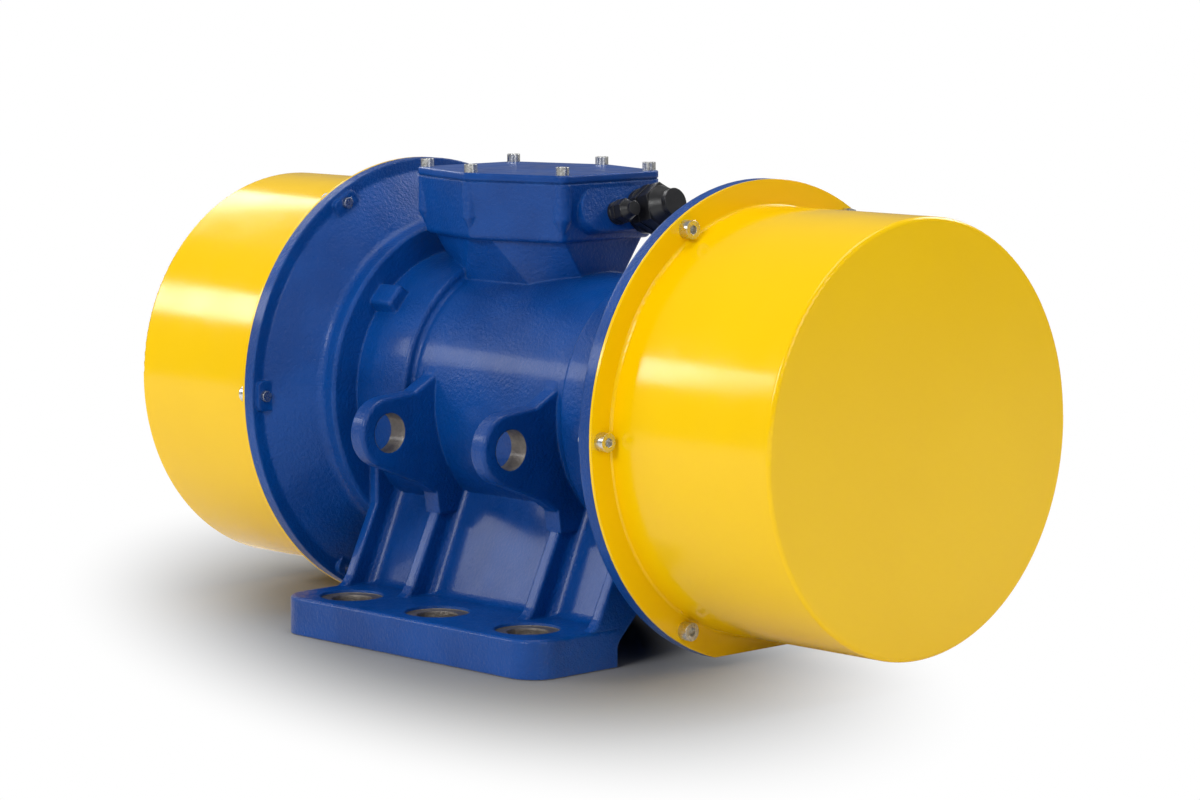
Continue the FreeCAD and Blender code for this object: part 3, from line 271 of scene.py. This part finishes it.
def coverPaint(name):
    # Glossy yellow powder coat on rolled sheet, with faint dents and a painted highlight on the
    # edges.
    material, graph, shader = newMaterial(name, **coverLook["gloss"])
    edge = graph.group("edgeEffect", Radius=coverLook["edgeRadius"],
                       Grain=coverLook["edgeGrain"])
    colour = graph.mix(graph.ramp(graph.noise(*coverLook["tone"]), coverLook["tones"]),
                       coverLook["deep"], coverLook["bright"])
    # Painted highlight: a lighter yellow laid on the edges.
    colour = graph.mix(graph.times(edge["Edge"], coverLook["paintedEdgeHighlightShare"]),
                       colour, coverLook["paintedEdgeHighlight"])
    roughness = graph.ramp(graph.noise(*coverLook["smears"]), coverLook["smearRange"],
                           coverLook["rough"])
    height = graph.plus(graph.times(graph.noise(*coverLook["peel"]), coverLook["peelHeight"]),
                        graph.times(graph.noise(*coverLook["dents"]), coverLook["dentHeight"]))
    finishSurface(graph, shader, colour, roughness, Strength=coverLook["bump"],
                  Distance=coverLook["bumpDepth"], Height=height, Normal=edge["Normal"])
    return material


# Bare metals by material slot. The pitch gives turning lines, and the grain sets the mottling.
metals = {
    "zinc_steel": dict(name="zincSteel", dark=(0.5, 0.5, 0.48, 1),
                       light=(0.78, 0.78, 0.75, 1), rough=0.22),
    "machined_steel": dict(name="machinedSteel", dark=(0.34, 0.34, 0.35, 1),
                           light=(0.56, 0.56, 0.57, 1), rough=0.24, pitch=2600.0),
    "weight_steel": dict(name="weightSteel", dark=(0.2, 0.19, 0.185, 1),
                         light=(0.36, 0.35, 0.34, 1), rough=0.38, grain=60.0, metallic=0.9),
    "rotor_aluminium": dict(name="rotorAluminium", dark=(0.6, 0.6, 0.61, 1),
                            light=(0.78, 0.78, 0.79, 1), rough=0.4, pitch=1800.0),
    "brass": dict(name="brassParts", dark=(0.55, 0.36, 0.12, 1),
                  light=(0.76, 0.55, 0.22, 1), rough=0.24),
    "cage_brass": dict(name="cageBrass", dark=(0.5, 0.32, 0.1, 1),
                       light=(0.72, 0.5, 0.2, 1), rough=0.3, pitch=2200.0),
}
metalFinish = dict(edgeRadius=0.0006, edgeGrain=200.0, edgeGain=1.35, edgeShare=0.5,
                   mottle=(4.0, 0.6), tones=(0.1, 0.9), markScale=3, marks=(3.0, 0.6),
                   markRange=(0.3, 0.7), roughSpread=0.14, markHeight=0.4, lineHeight=0.3,
                   bump=0.25, bumpDepth=0.0002)


def metalLook(name, dark, light, rough, pitch=0.0, grain=120.0, metallic=1.0):
    material, graph, shader = newMaterial(name, Metallic=metallic)
    edge = graph.group("edgeEffect", Radius=metalFinish["edgeRadius"],
                       Grain=metalFinish["edgeGrain"])
    tone = graph.noise(grain, *metalFinish["mottle"])
    colour = graph.mix(graph.ramp(tone, metalFinish["tones"]), dark, light)
    colour = graph.mix(graph.times(edge["Edge"], metalFinish["edgeShare"]), colour,
                       brighter(light, metalFinish["edgeGain"]))
    marks = graph.noise(grain * metalFinish["markScale"], *metalFinish["marks"])
    roughness = graph.ramp(marks, metalFinish["markRange"],
                           (rough, rough + metalFinish["roughSpread"]))
    height = graph.times(marks, metalFinish["markHeight"])
    if pitch:
        lines = graph.group("turnedLines", Pitch=pitch)
        height = graph.plus(height, graph.times(lines["Height"], metalFinish["lineHeight"]))
    finishSurface(graph, shader, colour, roughness, Strength=metalFinish["bump"],
                  Distance=metalFinish["bumpDepth"], Height=height, Normal=edge["Normal"])
    return material


# Moulded plastic and rubber by material slot.
mouldings = {
    "black_nylon": dict(name="blackNylon", dark=(0.006, 0.006, 0.007, 1),
                        light=(0.014, 0.014, 0.016, 1), rough=0.3),
    "block_plastic": dict(name="blockPlastic", dark=(0.03, 0.022, 0.018, 1),
                          light=(0.075, 0.06, 0.05, 1), rough=0.36),
    "rubber": dict(name="sealRubber", dark=(0.008, 0.008, 0.008, 1),
                   light=(0.02, 0.02, 0.02, 1), rough=0.55),
}
mouldFinish = dict(edgeRadius=0.0008, edgeGrain=220.0, edgeGain=2.4, edgeShare=0.4,
                   mottle=(90.0, 4.0, 0.6), grain=(600.0, 3.0, 0.6), grainRange=(0.3, 0.7),
                   roughSpread=0.15, bump=0.3, bumpDepth=0.0002)


def moulded(name, dark, light, rough):
    # Fine spark-eroded grain, with the edges rubbed lighter.
    material, graph, shader = newMaterial(name)
    edge = graph.group("edgeEffect", Radius=mouldFinish["edgeRadius"],
                       Grain=mouldFinish["edgeGrain"])
    colour = graph.mix(graph.noise(*mouldFinish["mottle"]), dark, light)
    colour = graph.mix(graph.times(edge["Edge"], mouldFinish["edgeShare"]), colour,
                       brighter(light, mouldFinish["edgeGain"]))
    fine = graph.noise(*mouldFinish["grain"])
    roughness = graph.ramp(fine, mouldFinish["grainRange"],
                           (rough, rough + mouldFinish["roughSpread"]))
    finishSurface(graph, shader, colour, roughness, Strength=mouldFinish["bump"],
                  Distance=mouldFinish["bumpDepth"], Height=fine, Normal=edge["Normal"])
    return material


sheetLook = dict(dark=(0.09, 0.09, 0.1, 1), light=(0.34, 0.34, 0.36, 1), pitch=6283.0,
                 lines=(-0.6, 0.9), stains=(50.0, 4.0, 0.5), stainShare=0.4, metallic=0.9,
                 rough=(0.5, 0.3), bump=0.4, bumpDepth=0.0002)


def layered(name):
    # Stacked core sheets: bright and dark lines across the shaft line, with stains.
    material, graph, shader = newMaterial(name, Metallic=sheetLook["metallic"])
    line = graph.wave(graph.axes()[0], sheetLook["pitch"])
    share = graph.ramp(line, sheetLook["lines"])
    colour = graph.mix(share, sheetLook["dark"], sheetLook["light"])
    stains = graph.times(graph.noise(*sheetLook["stains"]), sheetLook["stainShare"])
    colour = graph.mix(stains, colour, sheetLook["dark"])
    roughness = graph.ramp(share, (0.0, 1.0), sheetLook["rough"])
    finishSurface(graph, shader, colour, roughness, Strength=sheetLook["bump"],
                  Distance=sheetLook["bumpDepth"], Height=line)
    return material


wireLook = dict(varnish=dict(Metallic=0.75, Coat_Weight=0.5, Coat_Roughness=0.15),
                dark=(0.16, 0.05, 0.015, 1), light=(0.6, 0.25, 0.09, 1), turns=420.0,
                lean=900.0, strands=(-0.8, 0.8), rough=(0.5, 0.28), bump=0.7,
                bumpDepth=0.0006)


def wound(name):
    # Varnished copper: fine round wires side by side, darker between the wires.
    material, graph, shader = newMaterial(name, **wireLook["varnish"])
    x, y, z = graph.axes()
    around = graph.calc("ARCTAN2", graph.minus(z, shaftHeight), y)
    wires = graph.calc("SINE", graph.plus(graph.times(around, wireLook["turns"]),
                                          graph.times(x, wireLook["lean"])))
    strand = graph.ramp(wires, wireLook["strands"])
    colour = graph.mix(strand, wireLook["dark"], wireLook["light"])
    roughness = graph.ramp(strand, (0.0, 1.0), wireLook["rough"])
    finishSurface(graph, shader, colour, roughness, Strength=wireLook["bump"],
                  Distance=wireLook["bumpDepth"], Height=wires)
    return material


def makeLooks():
    makeEdgeGroup()
    makeSkinGroup()
    makeTurningGroup()
    looks = {
        "cast_blue": castEnamel("castEnamel", peel=1.0, waves=0.12, masked=True),
        "lid": castEnamel("lidEnamel", peel=0.3, waves=0.03, masked=False),
        "cover_yellow": coverPaint("coverYellow"),
        "lamination": layered("lamination"),
        "winding": wound("copperWinding"),
    }
    for slot, values in metals.items():
        looks[slot] = metalLook(**values)
    for slot, values in mouldings.items():
        looks[slot] = moulded(**values)
    return looks


smoother = {"terminal_box_lid": "lid", "lid_gasket": "lid"}  # not their own slot's look


def dressNodes(looks):
    slots = {part["node"]: part["material_slot"] for part in frame["record"]["subparts"]}
    for name, piece in nodes.items():
        look = looks[smoother.get(name, slots[name])]
        for slot in piece.material_slots:
            slot.material = look


# The floor shows the camera a painted shadow, a dark pool round the object that fades into
# white; other rays meet plain paper.
stageLook = dict(size=60.0, gap=0.0003, shade=(0.235, 0.239, 0.247, 1),
                 paper=(0.82, 0.82, 0.82, 1), white=(1, 1, 1, 1), middle=(-0.1, -0.05),
                 turn=-0.47, stretch=2.2, fade=(0.14, 0.4))


def paintedShadowDistance(graph):
    # Distance from the painted shadow's middle, in an ellipse turned on the floor.
    x, y, z = graph.axes()
    east = graph.minus(x, stageLook["middle"][0])
    north = graph.minus(y, stageLook["middle"][1])
    cosine, sine = math.cos(stageLook["turn"]), math.sin(stageLook["turn"])
    along = graph.plus(graph.times(east, cosine / stageLook["stretch"]),
                       graph.times(north, sine / stageLook["stretch"]))
    across = graph.minus(graph.times(north, cosine), graph.times(east, sine))
    return graph.length(along, across)


def paperMaterial():
    material = bpy.data.materials.new("studioPaper")
    graph = newTree(material)
    shade, paper = (graph.add("BsdfDiffuse", Color=stageLook[key]).outputs[0]
                    for key in ("shade", "paper"))
    white = graph.add("Emission", Color=stageLook["white"], Strength=1.0).outputs[0]
    # Painted shadow: the shade colour near the object, fading into the white emission further
    # out.
    paintedShadow = graph.blend(graph.ramp(paintedShadowDistance(graph), stageLook["fade"]), shade, white)
    seen = graph.add("LightPath").outputs["Is Camera Ray"]
    top = graph.blend(seen, paper, paintedShadow)
    back = graph.add("NewGeometry").outputs["Backfacing"]
    clear = graph.add("BsdfTransparent").outputs[0]
    graph.add("OutputMaterial", Surface=graph.blend(back, top, clear))  # open from below
    return material


def makeStage():
    half, low = stageLook["size"] / 2, -stageLook["gap"]
    mesh = bpy.data.meshes.new("studioFloor")
    mesh.from_pydata([(-half, -half, low), (half, -half, low), (half, half, low),
                      (-half, half, low)], [], [(0, 1, 2, 3)])
    mesh.materials.append(paperMaterial())
    floor = bpy.data.objects.new("studioFloor", mesh)
    bpy.context.scene.collection.objects.link(floor)


worldLook = dict(colour=(1, 1, 1, 1), fill=0.22, glossShare=0.12)


def makeWorld():
    # White behind the object, dimmer in reflections and as fill light.
    world = bpy.data.worlds.new("studioWorld")
    bpy.context.scene.world = world
    graph = newTree(world)
    path = graph.add("LightPath").outputs
    seen = graph.most(path["Is Camera Ray"], path["Is Transmission Ray"])
    gloss = graph.times(path["Is Glossy Ray"], worldLook["glossShare"])
    strength = graph.most(graph.most(seen, gloss), worldLook["fill"])
    sky = graph.add("Background", Color=worldLook["colour"], Strength=strength)
    graph.add("OutputWorld", Surface=sky.outputs[0])


lamps = {
    "sideWindow": dict(place=(-2.35, -1.85, 1.42), target=(0, 0, 0.25), size=(1.3, 0.5),
                       power=22),
    "frontFill": dict(place=(0.6, -3.2, 1.9), target=(0, 0, 0.25), size=(1.5, 1.0), power=60),
    "overhead": dict(place=(0.2, 0.1, 3.0), target=(0, 0, 0.2), size=(2.4, 1.6), power=38),
    "endFill": dict(place=(3.2, -0.6, 1.3), target=(0.2, 0, 0.25), size=(1.6, 1.2), power=24),
    "rearFill": dict(place=(0.4, 2.9, 2.4), target=(0, 0, 0.25), size=(1.8, 1.2), power=62),
    "leftFill": dict(place=(-3.2, 0.5, 1.9), target=(-0.2, 0, 0.25), size=(1.5, 1.0),
                     power=26),
}


def makeLamps():
    for name, values in lamps.items():
        lamp = bpy.data.lights.new(name, "AREA")
        lamp.shape = "RECTANGLE"
        lamp.size, lamp.size_y = values["size"]
        lamp.energy = values["power"]
        holder = bpy.data.objects.new(name, lamp)
        aim = Vector(values["target"]) - Vector(values["place"])
        holder.location = values["place"]
        holder.rotation_euler = aim.to_track_quat("-Z", "Y").to_euler()
        bpy.context.scene.collection.objects.link(holder)


# The lens and the sensor are in millimetres, and the angles in degrees.
cameraLook = dict(lens=115.27, sensor=36.0, place=(2.6883, -2.5772, 0.6768),
                  azimuth=45.938, elevation=6.948, reach=60.0)


def makeCamera():
    data = bpy.data.cameras.new("mainCamera")
    data.lens = cameraLook["lens"]
    data.sensor_width = cameraLook["sensor"]
    data.clip_end = cameraLook["reach"]
    camera = bpy.data.objects.new("mainCamera", data)
    turn = math.radians(cameraLook["azimuth"])
    rise = math.radians(cameraLook["elevation"])
    back = Vector((math.sin(turn) * math.cos(rise), -math.cos(turn) * math.cos(rise),
                   math.sin(rise)))
    camera.location = cameraLook["place"]
    camera.rotation_euler = back.to_track_quat("Z", "Y").to_euler()
    bpy.context.scene.collection.objects.link(camera)
    bpy.context.scene.camera = camera


bpy.context.scene.view_settings.view_transform = "Standard"
dressNodes(makeLooks())
print("materials set")
makeStage()
makeWorld()
print("floor and world set")
makeLamps()
makeCamera()
print("lamps and camera set")
